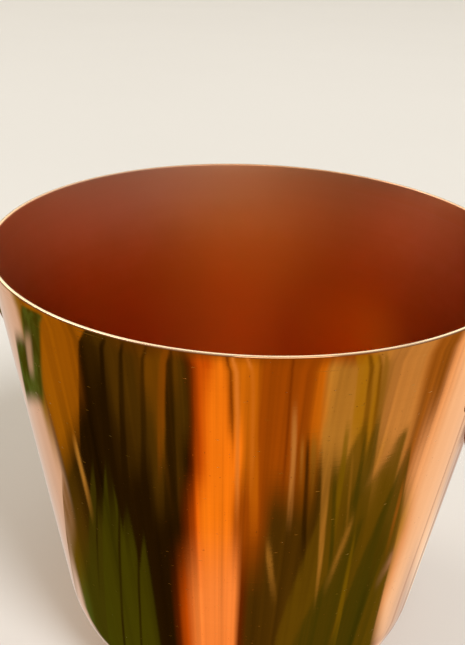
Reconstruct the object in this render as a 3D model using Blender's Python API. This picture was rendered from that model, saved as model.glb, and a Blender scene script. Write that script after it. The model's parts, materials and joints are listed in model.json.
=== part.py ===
"""A one and a half litre copper watering can: drawn body, bent spout, strap handle and a push-on rose.

Units are metres. +Z is up and the can stands on z = 0, with the origin at the middle of its base.
The spout points along -X and the handle along +X, and the can is the same on both sides of y = 0.
"""

from math import atan, cos, pi, radians, sin

import bmesh
import bpy
from mathutils import Matrix, Vector

# Gap kept between pieces that touch.
GAP = 0.0003
# Edges sharper than this stay crisp.
SMOOTH_ANGLE = radians(35)

# Body: a tapered cup with a rounded bottom corner.
RIM_RADIUS = 0.070
BODY_HEIGHT = 0.1316
BODY_TAPER = 0.1295
BODY_WALL = 0.0011
CORNER_RADIUS = 0.026
BODY_SEGMENTS = 72

# Rubber pad under the base.
PAD_RADIUS = 0.0285
PAD_THICKNESS = 0.0015
PAD_EDGE = 0.0006

# Spout: leaves the wall at ROOT_SLOPE, steepens to MIDDLE_SLOPE and ends at MOUTH_SLOPE above level.
SPOUT_ROOT_HEIGHT = 0.042
SPOUT_MOUTH_HEIGHT = 0.1395
SPOUT_ROOT_RADIUS = 0.0092
SPOUT_MOUTH_RADIUS = 0.0060
SPOUT_WALL = 0.0010
SPOUT_INNER_RUN = 0.020
SPOUT_STRAIGHT_RUN = 0.006
SPOUT_BEND_RADIUS = 0.060
ROOT_SLOPE = radians(50)
MIDDLE_SLOPE = radians(55)
MOUTH_SLOPE = radians(35)
SPOUT_SEGMENTS = 24

# Collar round the spout's root: an oval plate on the wall and a short neck on the tube.
COLLAR_PLATE_WIDTH = 0.0270
COLLAR_PLATE_HEIGHT = 0.0430
COLLAR_PLATE_THICKNESS = 0.0012
COLLAR_NECK_WALL = 0.0011
COLLAR_NECK_RUN = 0.0200

# Strainer inside the body: an oval dome with rings of holes.
STRAINER_WIDTH = 0.0240
STRAINER_HEIGHT = 0.0380
STRAINER_RISE = 0.0045
STRAINER_SKIRT = 0.0030
STRAINER_THICKNESS = 0.0008
STRAINER_HOLE_RADIUS = 0.0010
STRAINER_HOLE_STEP = 0.0042
STRAINER_HOLE_RINGS = 2

# Ferrule on the spout's mouth, measured along the spout from the ferrule's back.
FERRULE_LENGTH = 0.0160
FERRULE_RADIUS = 0.0079
FERRULE_SHOULDER_RADIUS = 0.0094
FERRULE_SHOULDER = 0.0022
FERRULE_BORE_TAPER = 0.14
FERRULE_LIP = 0.0012
GROOVE_START = 0.0080
GROOVE_WIDTH = 0.0024
GROOVE_RADIUS = 0.0069
SEAL_WIDTH = 0.0018
SEAL_RADIUS = 0.0080

# Rose: socket over the ferrule, a bent neck, a flared shell and a perforated face.
SOCKET_BORE = 0.0083
SOCKET_WALL = 0.0010
SOCKET_BEAD = 0.0007
SOCKET_BEAD_RUN = 0.0014
SOCKET_BEAD_END = 0.0020
SOCKET_STEP = 0.0165
NECK_BORE = 0.0066
NECK_RADIUS = 0.0078
NECK_STRAIGHT = 0.0200
NECK_BEND_RADIUS = 0.022
NECK_BEND = radians(25)
NECK_END_RUN = 0.0070
SHELL_SLEEVE = 0.0045
SHELL_LENGTH = 0.0230
SHELL_LIP = 0.0030
SHELL_WALL = 0.0008
SHELL_RADIUS = 0.0185
SHELL_FLARE_POWER = 1.3
SHELL_FLARE_STEPS = 6
FACE_THICKNESS = 0.0008
FACE_RISE = 0.0026
FACE_HOLE_RADIUS = 0.0006
FACE_HOLE_STEP = 0.0038
FACE_HOLE_RINGS = 4
RING_WALL = 0.0010
RING_REACH = 0.0024
ROUND_SEGMENTS = 28

# Handle: a strap bent into a closed loop. Heights are below the rim, along the wall.
STRAP_WIDTH = 0.0150
STRAP_THICKNESS = 0.0028
STRAP_CHAMFER = 0.0008
STRAP_END_ROUND = 0.0050
STRAP_END_NARROWING = 0.6
STRAP_UPPER_END = 0.0195
STRAP_LOWER_END = 0.0213
STRAP_LOWER_BEND = 0.0355
STRAP_RISE = 0.0150
STRAP_TOP_RADIUS = 0.0205
STRAP_LOWER_RADIUS = 0.0115
RIVET_DEPTHS = (0.0055, 0.0145, 0.0256, 0.0328)
RIVET_RADIUS = 0.0017
RIVET_SEGMENTS = 16
RIVET_DOME_STEPS = 3
RIVET_HEAD_RADIUS = 0.0031
RIVET_HEAD_HEIGHT = 0.0016
RIVET_TAIL_RADIUS = 0.0026
RIVET_TAIL_HEIGHT = 0.0011
BURR_RADIUS = 0.0034
BURR_THICKNESS = 0.0009

# Levels and directions that follow from the sizes above.
BASE_LEVEL = PAD_THICKNESS + GAP
RIM_LEVEL = BASE_LEVEL + BODY_HEIGHT
WALL_TILT = atan(BODY_TAPER)


def clear_scene():
    for old in list(bpy.data.objects):
        bpy.data.objects.remove(old, do_unlink=True)


def material(name, colour, roughness, metallic):
    made = bpy.data.materials.new(name)
    made.use_nodes = True
    shader = made.node_tree.nodes["Principled BSDF"]
    shader.inputs["Base Color"].default_value = (*colour, 1.0)
    shader.inputs["Roughness"].default_value = roughness
    shader.inputs["Metallic"].default_value = metallic
    return made


def new_object(name, bm, finish):
    """The bmesh as a smooth shaded object with one material."""
    bmesh.ops.recalc_face_normals(bm, faces=bm.faces)
    mesh = bpy.data.meshes.new(name)
    bm.to_mesh(mesh)
    bm.free()
    mesh.shade_smooth()
    mesh.set_sharp_from_angle(angle=SMOOTH_ANGLE)
    if finish is not None:
        mesh.materials.append(finish)
    made = bpy.data.objects.new(name, mesh)
    bpy.context.scene.collection.objects.link(made)
    return made


def as_cutter(cutter):
    cutter.hide_render = True
    cutter.display_type = "WIRE"
    return cutter


def add_boolean(piece, cutter, operation="DIFFERENCE"):
    step = piece.modifiers.new(operation.lower(), "BOOLEAN")
    step.operation = operation
    step.solver = "EXACT"
    step.object = cutter


def turned(name, outline, finish=None, segments=ROUND_SEGMENTS, closed=True):
    """A piece turned about Z from (radius, height) points. An open outline starts and ends on the axis."""
    bm = bmesh.new()
    points = [bm.verts.new((radius, 0.0, height)) for radius, height in outline]
    ends = zip(points, points[1:] + points[:1]) if closed else zip(points, points[1:])
    edges = [bm.edges.new(pair) for pair in ends]
    bmesh.ops.spin(
        bm,
        geom=points + edges,
        axis=(0.0, 0.0, 1.0),
        cent=(0.0, 0.0, 0.0),
        angle=2 * pi,
        steps=segments,
        use_merge=True,
    )
    bmesh.ops.remove_doubles(bm, verts=bm.verts, dist=1e-6)
    return new_object(name, bm, finish)


def arc(centre, radius, start, end, steps):
    """Points on an arc in the plane, from one angle to another."""
    angles = [start + (end - start) * i / steps for i in range(steps + 1)]
    return [(centre[0] + radius * cos(a), centre[1] + radius * sin(a)) for a in angles]


class Route:
    """A path in the XZ plane made of straight runs and arcs, as (point, heading) pairs."""

    def __init__(self, start, heading):
        self.x, self.z = start
        self.heading = heading
        self.stations = [(start, heading)]
        self.length = 0.0
        self.distances = [0.0]

    def add(self, travelled):
        self.length += travelled
        self.stations.append(((self.x, self.z), self.heading))
        self.distances.append(self.length)

    def straight(self, run, steps=1):
        for _ in range(steps):
            self.x += run / steps * cos(self.heading)
            self.z += run / steps * sin(self.heading)
            self.add(run / steps)
        return self

    def bend(self, radius, turn, steps):
        side = 1.0 if turn > 0 else -1.0
        for _ in range(steps):
            after = self.heading + turn / steps
            self.x += side * radius * (sin(after) - sin(self.heading))
            self.z -= side * radius * (cos(after) - cos(self.heading))
            self.heading = after
            self.add(radius * abs(turn) / steps)
        return self


def ring_at(bm, station, radius, segments):
    """A circle of vertices square to the path at one station."""
    (x, z), heading = station
    side = Vector((0.0, 1.0, 0.0))
    up = Vector((-sin(heading), 0.0, cos(heading)))
    centre = Vector((x, 0.0, z))
    angles = [2 * pi * i / segments for i in range(segments)]
    return [bm.verts.new(centre + radius * (cos(a) * side + sin(a) * up)) for a in angles]


def bridge(bm, first, second):
    count = len(first)
    for i in range(count):
        after = (i + 1) % count
        bm.faces.new((first[i], first[after], second[after], second[i]))


def tube(name, stations, outer, inner, finish, segments):
    """A hollow tube along a path, open at both ends, with its own radii at each station."""
    bm = bmesh.new()
    outside = [ring_at(bm, s, r, segments) for s, r in zip(stations, outer)]
    inside = [ring_at(bm, s, r, segments) for s, r in zip(stations, inner)]
    for rings in (outside, inside):
        for first, second in zip(rings, rings[1:]):
            bridge(bm, first, second)
    bridge(bm, outside[0], inside[0])
    bridge(bm, outside[-1], inside[-1])
    return new_object(name, bm, finish)


def rod(name, stations, radii, segments):
    """A solid round bar along a path, with flat ends."""
    bm = bmesh.new()
    rings = [ring_at(bm, s, r, segments) for s, r in zip(stations, radii)]
    for first, second in zip(rings, rings[1:]):
        bridge(bm, first, second)
    bm.faces.new(rings[0])
    bm.faces.new(rings[-1])
    return new_object(name, bm, None)


def hole_grid(name, step, rings, radius, length, stretch, sides=6):
    """Pins along Z in rings of six, twelve, eighteen and so on, spread out along X by stretch."""
    bm = bmesh.new()
    places = [(0.0, 0.0)]
    for ring in range(1, rings + 1):
        angles = [2 * pi * i / (6 * ring) for i in range(6 * ring)]
        places += [(stretch * step * ring * cos(a), step * ring * sin(a)) for a in angles]
    for x, y in places:
        bmesh.ops.create_cone(
            bm,
            cap_ends=True,
            segments=sides,
            radius1=radius,
            radius2=radius,
            depth=length,
            matrix=Matrix.Translation((x, y, 0.0)),
        )
    return as_cutter(new_object(name, bm, None))


def wall_radius(level, inset=0.0):
    """Radius of the body's tapered wall at a height, inset square to the wall."""
    return RIM_RADIUS - BODY_TAPER * (RIM_LEVEL - level) - inset / cos(WALL_TILT)


def cup_outline(inset, base, top, steps=7):
    """Half outline of the body's surface, inset by a distance, from the axis out and up to the top."""
    centre_level = BASE_LEVEL + CORNER_RADIUS
    centre = (wall_radius(centre_level, CORNER_RADIUS), centre_level)
    corner = arc(centre, CORNER_RADIUS - inset, -pi / 2, -WALL_TILT, steps)
    return [(0.0, base), *corner, (wall_radius(top, inset), top)]


def make_body(copper):
    outside = cup_outline(0.0, BASE_LEVEL, RIM_LEVEL)
    inside = cup_outline(BODY_WALL, BASE_LEVEL + BODY_WALL, RIM_LEVEL)
    return turned("body_shell", outside + inside[::-1], copper, BODY_SEGMENTS, closed=False)


def wall_block(name, inset, segments=BODY_SEGMENTS):
    """A solid of the body's shape, used to trim the pieces that sit against the wall."""
    top = RIM_LEVEL + BODY_WALL
    outline = cup_outline(inset, BASE_LEVEL + inset, top) + [(0.0, top)]
    return as_cutter(turned(name, outline, None, segments, closed=False))


def make_base_pad(rubber):
    outline = [
        (0.0, 0.0),
        (PAD_RADIUS - PAD_EDGE, 0.0),
        (PAD_RADIUS, PAD_EDGE),
        (PAD_RADIUS, PAD_THICKNESS),
        (0.0, PAD_THICKNESS),
    ]
    return turned("base_pad", outline, rubber, closed=False)


def spout_route():
    """The spout's centre line, from inside the body to its mouth, drawn towards +X."""
    start = (wall_radius(BASE_LEVEL + SPOUT_ROOT_HEIGHT), BASE_LEVEL + SPOUT_ROOT_HEIGHT)
    back = (start[0] - SPOUT_INNER_RUN * cos(ROOT_SLOPE), start[1] - SPOUT_INNER_RUN * sin(ROOT_SLOPE))
    route = Route(back, ROOT_SLOPE)
    route.straight(SPOUT_INNER_RUN, 1)
    route.straight(SPOUT_STRAIGHT_RUN, 1)
    route.bend(SPOUT_BEND_RADIUS, MIDDLE_SLOPE - ROOT_SLOPE, 2)
    route.straight(SPOUT_INNER_RUN + COLLAR_NECK_RUN - route.length)
    last_bend_rise = SPOUT_BEND_RADIUS * (cos(MOUTH_SLOPE) - cos(MIDDLE_SLOPE))
    ferrule_rise = FERRULE_LENGTH * sin(MOUTH_SLOPE)
    rise = BASE_LEVEL + SPOUT_MOUTH_HEIGHT - route.z - last_bend_rise - ferrule_rise
    route.straight(rise / sin(MIDDLE_SLOPE), 2)
    route.bend(SPOUT_BEND_RADIUS, MOUTH_SLOPE - MIDDLE_SLOPE, 6)
    route.straight(FERRULE_LENGTH - FERRULE_LIP - GAP, 1)
    return route


def mirrored(stations):
    """Stations turned round to the -X side."""
    return [((-x, z), pi - heading) for (x, z), heading in stations]


def spout_radii(route, extra=0.0):
    """Outer radius along the spout, tapering evenly over the length outside the body."""
    radii = []
    for distance in route.distances:
        share = (distance - SPOUT_INNER_RUN) / (route.length - SPOUT_INNER_RUN)
        share = max(0.0, share)
        radii.append(SPOUT_ROOT_RADIUS + share * (SPOUT_MOUTH_RADIUS - SPOUT_ROOT_RADIUS) + extra)
    return radii


def make_spout(copper, wall_cutter):
    route = spout_route()
    outer = spout_radii(route)
    inner = spout_radii(route, -SPOUT_WALL)
    spout = tube("spout_tube", mirrored(route.stations), outer, inner, copper, SPOUT_SEGMENTS)
    add_boolean(spout, wall_cutter)
    return spout


def make_spout_bore():
    """The spout's bore as a solid, which opens the body's wall."""
    route = spout_route()
    radii = spout_radii(route, -SPOUT_WALL)
    return as_cutter(rod("spout_bore", mirrored(route.stations), radii, SPOUT_SEGMENTS))


def wall_frame(level, side):
    """A frame on the outer wall at y = 0: local Z points square out of the wall and local Y stays level."""
    place = Vector((side * wall_radius(level), 0.0, level))
    out = Vector((side * cos(WALL_TILT), 0.0, -sin(WALL_TILT)))
    across = Vector((0.0, 1.0, 0.0))
    along = across.cross(out)
    return Matrix.Translation(place) @ Matrix((along, across, out)).transposed().to_4x4()


def make_collar(copper, wall_cutter):
    """An oval plate that follows the wall, joined to a short neck that follows the tube."""
    bm = bmesh.new()
    bmesh.ops.create_cone(
        bm,
        cap_ends=True,
        segments=ROUND_SEGMENTS,
        radius1=0.5,
        radius2=0.5,
        depth=SPOUT_INNER_RUN,
        matrix=wall_frame(BASE_LEVEL + SPOUT_ROOT_HEIGHT, -1.0)
        @ Matrix.Diagonal((COLLAR_PLATE_HEIGHT, COLLAR_PLATE_WIDTH, 1.0, 1.0)),
    )
    collar = new_object("spout_collar", bm, copper)
    plate_limit = wall_block("collar_plate_limit", -GAP - COLLAR_PLATE_THICKNESS)
    add_boolean(collar, plate_limit, "INTERSECT")
    route = spout_route()
    covered = [d for d in route.distances if d <= SPOUT_INNER_RUN + COLLAR_NECK_RUN + GAP]
    neck_stations = mirrored(route.stations)[: len(covered)]
    neck = rod("collar_neck", neck_stations, spout_radii(route, GAP + COLLAR_NECK_WALL), SPOUT_SEGMENTS)
    add_boolean(collar, as_cutter(neck), "UNION")
    add_boolean(collar, wall_cutter)
    clearance = rod("collar_bore", mirrored(route.stations), spout_radii(route, GAP), SPOUT_SEGMENTS)
    add_boolean(collar, as_cutter(clearance))
    return collar


def make_strainer(brass):
    """A perforated oval dome over the spout hole, its edge cut to the inner wall."""
    half_width = STRAINER_WIDTH / 2
    dome_radius = (half_width**2 + STRAINER_RISE**2) / (2 * STRAINER_RISE)
    spread = atan(half_width / (dome_radius - STRAINER_RISE))
    centre = (0.0, dome_radius - STRAINER_RISE)
    outer = arc(centre, dome_radius, -pi / 2, -pi / 2 + spread, 6)
    inner = arc(centre, dome_radius - STRAINER_THICKNESS, -pi / 2, -pi / 2 + spread, 6)
    outer.append((outer[-1][0], STRAINER_SKIRT))
    inner.append((inner[-1][0], STRAINER_SKIRT))
    strainer = turned("spout_strainer", outer + inner[::-1], brass, closed=False)
    place = wall_frame(BASE_LEVEL + SPOUT_ROOT_HEIGHT, -1.0)
    stretch = STRAINER_HEIGHT / STRAINER_WIDTH
    inward = Matrix.Translation((0.0, 0.0, -BODY_WALL - GAP))
    strainer.data.transform(place @ inward @ Matrix.Diagonal((stretch, 1.0, 1.0, 1.0)))
    add_boolean(strainer, wall_block("strainer_limit", BODY_WALL + GAP), "INTERSECT")
    holes = hole_grid(
        "strainer_holes",
        STRAINER_HOLE_STEP,
        STRAINER_HOLE_RINGS,
        STRAINER_HOLE_RADIUS,
        4 * STRAINER_RISE,
        stretch,
    )
    holes.data.transform(place)
    add_boolean(strainer, holes)
    return strainer


def make_ferrule(brass):
    """End sleeve of the spout: stop shoulder, seal groove and a lip over the tube's end."""
    bore = SPOUT_MOUTH_RADIUS + GAP
    mouth = SPOUT_MOUTH_RADIUS - SPOUT_WALL
    groove_end = GROOVE_START + GROOVE_WIDTH
    back_bore = bore + (SPOUT_ROOT_RADIUS - SPOUT_MOUTH_RADIUS) * FERRULE_BORE_TAPER
    outline = [
        (FERRULE_SHOULDER_RADIUS - GAP, 0.0),
        (FERRULE_SHOULDER_RADIUS, GAP),
        (FERRULE_SHOULDER_RADIUS, FERRULE_SHOULDER - GAP),
        (FERRULE_SHOULDER_RADIUS - GAP, FERRULE_SHOULDER),
        (FERRULE_RADIUS, FERRULE_SHOULDER),
        (FERRULE_RADIUS, GROOVE_START),
        (GROOVE_RADIUS, GROOVE_START),
        (GROOVE_RADIUS, groove_end),
        (FERRULE_RADIUS, groove_end),
        (FERRULE_RADIUS, FERRULE_LENGTH - FERRULE_LIP),
        (FERRULE_RADIUS - FERRULE_LIP / 2, FERRULE_LENGTH),
        (mouth, FERRULE_LENGTH),
        (mouth, FERRULE_LENGTH - FERRULE_LIP),
        (bore, FERRULE_LENGTH - FERRULE_LIP),
        (back_bore, 0.0),
    ]
    return turned("spout_ferrule", outline, brass)


def make_seal(rubber):
    middle = GROOVE_START + GROOVE_WIDTH / 2
    low, high = middle - SEAL_WIDTH / 2, middle + SEAL_WIDTH / 2
    crown = (SEAL_RADIUS + GROOVE_RADIUS) / 2
    outline = [
        (GROOVE_RADIUS + GAP, low),
        (crown, low),
        (SEAL_RADIUS, middle - SEAL_WIDTH / 5),
        (SEAL_RADIUS, middle + SEAL_WIDTH / 5),
        (crown, high),
        (GROOVE_RADIUS + GAP, high),
    ]
    return turned("rose_seal", outline, rubber)


def neck_route():
    """The rose's neck: straight over the ferrule, then bent."""
    route = Route((0.0, FERRULE_SHOULDER + GAP), pi / 2)
    bead_levels = (route.z + SOCKET_BEAD_RUN, route.z + SOCKET_BEAD_END)
    for level in (*bead_levels, SOCKET_STEP, SOCKET_STEP + GAP, NECK_STRAIGHT):
        route.straight(level - route.z)
    return route.bend(NECK_BEND_RADIUS, NECK_BEND, 5).straight(NECK_END_RUN)


def make_neck(brass):
    stations = neck_route().stations
    socket = SOCKET_BORE + SOCKET_WALL
    bends = len(stations) - 5
    outer = [socket + SOCKET_BEAD] * 2 + [socket] * 3 + [NECK_RADIUS] * bends
    inner = [SOCKET_BORE] * 4 + [NECK_BORE] * (bends + 1)
    return tube("rose_neck", stations, outer, inner, brass, ROUND_SEGMENTS)


def make_shell(brass):
    """A sleeve on the neck, flared to a lip."""
    small = NECK_RADIUS + GAP
    lip_start = SHELL_LENGTH - SHELL_LIP
    flare = SHELL_RADIUS - small - SHELL_WALL
    span = lip_start - SHELL_SLEEVE
    curve = [i / SHELL_FLARE_STEPS for i in range(1, SHELL_FLARE_STEPS + 1)]
    outer = [(small + SHELL_WALL, 0.0), (small + SHELL_WALL, SHELL_SLEEVE)]
    outer += [(small + SHELL_WALL + flare * t**SHELL_FLARE_POWER, SHELL_SLEEVE + span * t) for t in curve]
    outer.append((SHELL_RADIUS, SHELL_LENGTH))
    inner = [(radius - SHELL_WALL, level) for radius, level in outer]
    return turned("rose_shell", outer + inner[::-1], brass)


def make_face(brass):
    """A domed disc inside the shell's lip, with rings of fine holes."""
    radius = SHELL_RADIUS - SHELL_WALL - GAP
    dome_radius = (radius**2 + FACE_RISE**2) / (2 * FACE_RISE)
    spread = atan(radius / (dome_radius - FACE_RISE))
    rim_level = SHELL_LENGTH - FACE_THICKNESS
    centre = (0.0, rim_level + FACE_RISE - dome_radius)
    under = arc(centre, dome_radius, pi / 2 - spread, pi / 2, 5)
    over = arc(centre, dome_radius + FACE_THICKNESS, pi / 2, pi / 2 - spread, 5)
    over[-1] = (radius, SHELL_LENGTH)
    face = turned("rose_face", over + under, brass, closed=False)
    length = 4 * SHELL_LENGTH
    holes = hole_grid("face_holes", FACE_HOLE_STEP, FACE_HOLE_RINGS, FACE_HOLE_RADIUS, length, 1.0)
    add_boolean(face, holes)
    return face, holes


def make_ring(brass):
    """A channel round the shell's lip that also reaches over the edge of the face."""
    bore = SHELL_RADIUS + GAP
    top = SHELL_LENGTH + GAP
    outline = [
        (bore, SHELL_LENGTH - SHELL_LIP),
        (bore + RING_WALL, SHELL_LENGTH - SHELL_LIP),
        (bore + RING_WALL, top + RING_WALL / 2),
        (bore + RING_WALL / 2, top + RING_WALL),
        (SHELL_RADIUS - RING_REACH, top + RING_WALL),
        (SHELL_RADIUS - RING_REACH, top + RING_WALL / 2),
        (SHELL_RADIUS - RING_REACH / 2, top),
        (bore, top),
    ]
    return turned("rose_ring", outline, brass)


def make_rose(brass, rubber):
    """The rose's pieces on an empty that lies on the spout's mouth axis, with a second one for the head."""
    route = spout_route()
    back = FERRULE_LENGTH - FERRULE_LIP - GAP
    axis = bpy.data.objects.new("rose_axis", None)
    axis.location = (
        -(route.x - back * cos(MOUTH_SLOPE)),
        0.0,
        route.z - back * sin(MOUTH_SLOPE),
    )
    axis.rotation_euler = (0.0, MOUTH_SLOPE - pi / 2, 0.0)
    head = bpy.data.objects.new("rose_head", None)
    neck_end = neck_route()
    sleeve_back = SHELL_SLEEVE
    head.location = (
        neck_end.x - sleeve_back * cos(neck_end.heading),
        0.0,
        neck_end.z - sleeve_back * sin(neck_end.heading),
    )
    head.rotation_euler = (0.0, pi / 2 - neck_end.heading, 0.0)
    head.parent = axis
    for empty in (axis, head):
        bpy.context.scene.collection.objects.link(empty)
    for piece in (make_ferrule(brass), make_seal(rubber), make_neck(brass)):
        piece.parent = axis
    for piece in (make_shell(brass), *make_face(brass), make_ring(brass)):
        piece.parent = head


def strap_route():
    """The strap's middle line, from its upper end on the wall round the loop to its lower end."""
    stand_off = GAP + STRAP_THICKNESS / 2
    start_radius = wall_radius(RIM_LEVEL, -stand_off) - STRAP_UPPER_END * sin(WALL_TILT)
    start_level = RIM_LEVEL - STRAP_UPPER_END * cos(WALL_TILT)
    foot = 2 * STRAP_TOP_RADIUS - 2 * STRAP_LOWER_RADIUS
    route = Route((start_radius, start_level), pi / 2 - WALL_TILT)
    route.straight(STRAP_END_ROUND, 4).straight(STRAP_UPPER_END - STRAP_END_ROUND).straight(STRAP_RISE, 3)
    route.bend(STRAP_TOP_RADIUS, -pi, 14).straight(STRAP_RISE + STRAP_LOWER_BEND)
    route.bend(STRAP_LOWER_RADIUS, -pi / 2, 6).straight(foot).bend(STRAP_LOWER_RADIUS, -pi / 2, 6)
    tail = STRAP_LOWER_BEND - STRAP_LOWER_END - STRAP_END_ROUND
    return route.straight(tail).straight(STRAP_END_ROUND, 4)


def strap_section(bm, station, width, wall_share):
    """A chamfered rectangle square to the path, curved across to suit the wall by wall_share."""
    (x, z), heading = station
    half, thick = width / 2, STRAP_THICKNESS / 2
    inset = STRAP_CHAMFER
    corners = [
        (half, -thick + inset),
        (half, thick - inset),
        (half - inset, thick),
        (0.0, thick),
        (inset - half, thick),
        (-half, thick - inset),
        (-half, -thick + inset),
        (inset - half, -thick),
        (0.0, -thick),
        (half - inset, -thick),
    ]
    ring = []
    for across, out in corners:
        sag = wall_share * across**2 / (2 * RIM_RADIUS)
        place = Vector((x - out * sin(heading) - sag, across, z + out * cos(heading)))
        ring.append(bm.verts.new(place))
    return ring


def make_strap(copper, rivet_pins):
    route = strap_route()
    bm = bmesh.new()
    rings = []
    for station, distance in zip(route.stations, route.distances):
        from_end = min(distance, route.length - distance)
        corner = max(0.0, 1.0 - from_end / STRAP_END_ROUND)
        width = STRAP_WIDTH * (1.0 - STRAP_END_NARROWING * (1.0 - (1.0 - corner**2) ** 0.5))
        wall_share = min(1.0, max(0.0, 1.0 + (STRAP_UPPER_END - from_end) / STRAP_RISE))
        rings.append(strap_section(bm, station, width, wall_share))
    for first, second in zip(rings, rings[1:]):
        bridge(bm, first, second)
    bm.faces.new(rings[0])
    bm.faces.new(rings[-1])
    strap = new_object("handle_strap", bm, copper)
    add_boolean(strap, rivet_pins)
    return strap


def rivet_frames():
    return [wall_frame(RIM_LEVEL - depth * cos(WALL_TILT), 1.0) for depth in RIVET_DEPTHS]


def make_rivet_pins():
    """Clearance pins through strap and wall, one for each rivet."""
    bm = bmesh.new()
    for frame in rivet_frames():
        bmesh.ops.create_cone(
            bm,
            cap_ends=True,
            segments=RIVET_SEGMENTS,
            radius1=RIVET_RADIUS + GAP,
            radius2=RIVET_RADIUS + GAP,
            depth=4 * STRAP_THICKNESS,
            matrix=frame,
        )
    return as_cutter(new_object("rivet_pins", bm, None))


def rivet_outline():
    """Half outline of a set rivet: domed head, shank and peened tail."""
    head_base = STRAP_THICKNESS + 2 * GAP
    tail_base = -BODY_WALL - BURR_THICKNESS - 2 * GAP
    turns = [pi / 2 * i / RIVET_DOME_STEPS for i in range(RIVET_DOME_STEPS + 1)]
    head = [(RIVET_HEAD_RADIUS * sin(a), head_base + RIVET_HEAD_HEIGHT * cos(a)) for a in turns]
    tail = [(RIVET_TAIL_RADIUS * cos(a), tail_base - RIVET_TAIL_HEIGHT * sin(a)) for a in turns]
    return head + [(RIVET_RADIUS, head_base), (RIVET_RADIUS, tail_base)] + tail


def make_rivets(copper):
    low = -BODY_WALL - GAP - BURR_THICKNESS
    high = -BODY_WALL - GAP
    bore = RIVET_RADIUS + GAP
    burr = [(bore, low), (BURR_RADIUS, low), (BURR_RADIUS, high), (bore, high)]
    for number, frame in enumerate(rivet_frames(), start=1):
        rivet = turned(f"handle_rivet_{number}", rivet_outline(), copper, RIVET_SEGMENTS, closed=False)
        washer = turned(f"handle_burr_{number}", burr, copper, RIVET_SEGMENTS)
        for piece in (rivet, washer):
            piece.matrix_world = frame


def main():
    clear_scene()
    copper = material("polished_copper", (0.80, 0.36, 0.20), 0.12, 1.0)
    brass = material("polished_brass", (0.78, 0.57, 0.26), 0.20, 1.0)
    rubber = material("black_rubber", (0.03, 0.03, 0.03), 0.80, 0.0)
    rivet_pins = make_rivet_pins()
    wall_cutter = wall_block("wall_clearance", -GAP)
    body = make_body(copper)
    add_boolean(body, make_spout_bore())
    add_boolean(body, rivet_pins)
    make_base_pad(rubber)
    make_collar(copper, wall_cutter)
    make_spout(copper, wall_cutter)
    make_strainer(brass)
    make_rose(brass, rubber)
    make_strap(copper, rivet_pins)
    make_rivets(copper)


main()
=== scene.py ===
"""The looks of a small copper watering can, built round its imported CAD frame.

Metres, +Z up. The can stands on z = 0, its spout points along -X and its handle along +X.
"""

import json
from math import atan, atan2, cos, hypot, pi, radians, sin, sqrt, tan

import bmesh
import bpy
from mathutils import Matrix, Vector


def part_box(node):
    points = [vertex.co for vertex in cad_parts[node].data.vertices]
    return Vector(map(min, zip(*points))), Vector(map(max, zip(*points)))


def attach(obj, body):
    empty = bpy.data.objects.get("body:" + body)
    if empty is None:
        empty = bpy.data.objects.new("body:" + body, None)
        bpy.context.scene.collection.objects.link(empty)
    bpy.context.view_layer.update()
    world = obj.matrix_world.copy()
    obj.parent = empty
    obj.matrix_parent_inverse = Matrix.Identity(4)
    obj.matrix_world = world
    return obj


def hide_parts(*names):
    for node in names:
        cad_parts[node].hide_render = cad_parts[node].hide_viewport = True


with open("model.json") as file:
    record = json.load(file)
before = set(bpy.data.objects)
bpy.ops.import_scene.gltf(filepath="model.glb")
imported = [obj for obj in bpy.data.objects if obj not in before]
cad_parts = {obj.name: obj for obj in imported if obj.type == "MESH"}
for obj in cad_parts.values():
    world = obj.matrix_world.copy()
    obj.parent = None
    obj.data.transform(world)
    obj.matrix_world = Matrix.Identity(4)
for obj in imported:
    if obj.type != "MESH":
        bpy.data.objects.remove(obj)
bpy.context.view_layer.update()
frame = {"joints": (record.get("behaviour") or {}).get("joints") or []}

# ---- sizes

GAP = 0.0003
SHARP = radians(38)

# Body, from the frame's own body shell.
BODY_LOW, BODY_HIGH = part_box("body_shell")
RIM_RADIUS = BODY_HIGH.y
BASE_LEVEL = BODY_LOW.z
RIM_LEVEL = BODY_HIGH.z
BODY_TAPER = 0.1295
BODY_WALL = 0.0011
CORNER_RADIUS = 0.026
RIM_EDGE = 0.0003
RIM_INNER_EDGE = 0.0005
CUT_EDGE_FACING = 0.86  # the least that the cut edge's faces point up
WALL_TILT = atan(BODY_TAPER)
BODY_SEGMENTS = 288
BODY_ROW = 0.0035

# Painted light on the inside, as (place, full within, gone beyond): the far wall painted redder as if lit
# by bounced light, a painted glow on it with two painted warm spots opposite, and a painted sheen under
# the rim.
PAINTED_FAR_WALL = ((-0.022, 0.058, 0.098), 0.02, 0.062)
PAINTED_GLOWS = (
    ((0.01, 0.061, 0.074), 0.002, 0.029),
    ((-0.06, -0.011, 0.048), 0.01, 0.034),
    ((0.041, -0.054, 0.044), 0.01, 0.034),
)
PAINTED_SHEEN = ((-0.058, 0.036, 0.13), 0.03, 0.085)
PAINTED_SHEEN_DEPTH = 0.034
# The next three are colours of painted light: the far wall's, the glow's and the sheen's.
PAINTED_FAR_TONE = (0.84, 0.33, 0.05)
PAINTED_GLOW_TONE = (1, 0.5, 0.04)
PAINTED_SHEEN_TONE = (1, 0.55, 0.38)
RING_TONE = (0.93, 0.62, 0.46)
SCRATCH_TONE = (1, 0.84, 0.62)
DUST_TONE = (0.11, 0.1, 0.09)

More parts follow.
